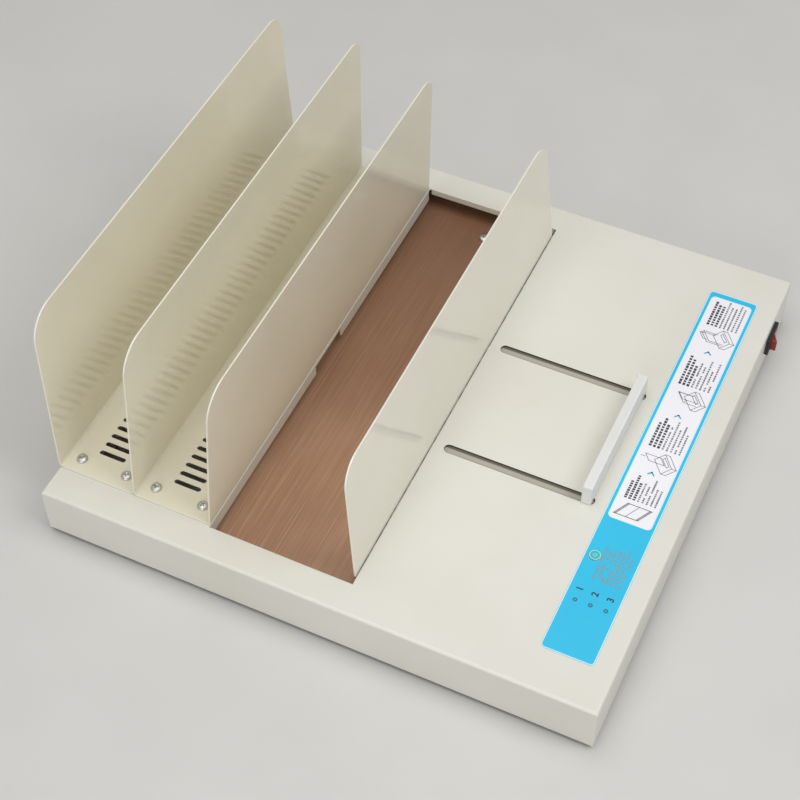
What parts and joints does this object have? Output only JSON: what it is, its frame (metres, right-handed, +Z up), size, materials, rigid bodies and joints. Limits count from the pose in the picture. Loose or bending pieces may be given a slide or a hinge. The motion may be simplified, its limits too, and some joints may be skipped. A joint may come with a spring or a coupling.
{
  "type": "thermal binding machine",
  "caption": "Desktop thermal binder: flat sheet-metal casing with a heated trough, cooling rack plates, a sliding clamp plate with handle, a control panel and a rocker switch.",
  "frame": {"origin": "middle of the casing's footprint, on the surface that the feet stand on", "axes": "+X along the front edge from left to right, +Y from the front edge to the rear wall with the mains inlet, +Z up"},
  "size_m": [0.4122, 0.4003, 0.1774],
  "materials": {
    "sheet_paint": "fine-textured light warm grey powder coat",
    "plate_paint": "fine-textured beige-grey powder coat",
    "zinc_sheet": "bright zinc-plated",
    "screw_steel": "bright zinc-plated",
    "platen_aluminium": "milled",
    "brown_cloth": "woven glass cloth with a brown non-stick coating",
    "heater_foil": "matt amber film",
    "insulation": "pressed fibre, matt",
    "ceramic": "unglazed",
    "white_plastic": "fine-grained",
    "natural_nylon": "matt",
    "rubber": "matt",
    "panel_film": "satin printed film",
    "key_film": "satin",
    "lamp_lens": "diffused",
    "board_laminate": "solder-masked laminate",
    "black_plastic": "satin",
    "red_plastic": "glossy",
    "contact_brass": "plated",
    "core_steel": "varnished laminations",
    "terminal_green": "moulded",
    "capacitor_sleeve": "shrink sleeve"
  },
  "bodies": {
    "base": {"top_cover": "sheet_paint", "bottom_plate": "zinc_sheet", "foot_front_left": "rubber", "foot_front_right": "rubber", "foot_rear_left": "rubber", "foot_rear_right": "rubber", "foot_screws": "screw_steel", "casing_brackets": "zinc_sheet", "casing_screws": "screw_steel", "rack_left": "plate_paint", "rack_middle": "plate_paint", "rack_screws": "screw_steel", "rack_nuts": "screw_steel", "heating_platen": "platen_aluminium", "platen_cloth": "brown_cloth", "heater_element": "heater_foil", "heater_press_plate": "platen_aluminium", "insulation_board": "insulation", "heat_tray": "zinc_sheet", "platen_posts": "ceramic", "platen_screws": "screw_steel", "post_screws": "screw_steel", "tray_stands": "natural_nylon", "thermostat": "black_plastic", "thermal_fuse": "screw_steel", "rail_front": "zinc_sheet", "rail_rear": "zinc_sheet", "control_label": "panel_film", "indicator_board": "board_laminate", "indicator_studs": "natural_nylon", "lamp_left": "lamp_lens", "lamp_middle": "lamp_lens", "lamp_right": "lamp_lens", "push_switch": "black_plastic", "power_board": "board_laminate", "board_standoffs": "natural_nylon", "board_screws": "screw_steel", "transformer": "core_steel", "heater_relay": "black_plastic", "capacitor": "capacitor_sleeve", "terminal_strip": "terminal_green", "fuse_holder": "black_plastic", "buzzer": "black_plastic", "rocker_switch": "black_plastic", "switch_tabs": "contact_brass", "mains_inlet": "black_plastic", "inlet_blades": "contact_brass", "inlet_screws": "screw_steel"},
    "clamp": {"clamp_plate": "plate_paint", "clamp_handle": "white_plastic", "guide_bushes": "natural_nylon", "handle_screws": "screw_steel"},
    "rocker": {"rocker_paddle": "red_plastic"},
    "key": {"start_key": "key_film"}
  },
  "joints": [
    {"name": "clamp_slide", "type": "slide", "parent": "base", "child": "clamp", "axis": [-1, 0, 0], "range_m": [0, 0.087]},
    {"name": "rocker_hinge", "type": "hinge", "parent": "base", "child": "rocker", "pos_m": [0.201, 0.1522, 0.029], "axis": [0, 0, -1], "range_deg": [0, 29.5]},
    {"name": "key_press", "type": "slide", "parent": "base", "child": "key", "axis": [0, 0, -1], "range_m": [0, 0.0004], "stiffness_N_per_m": 1500}
  ]
}
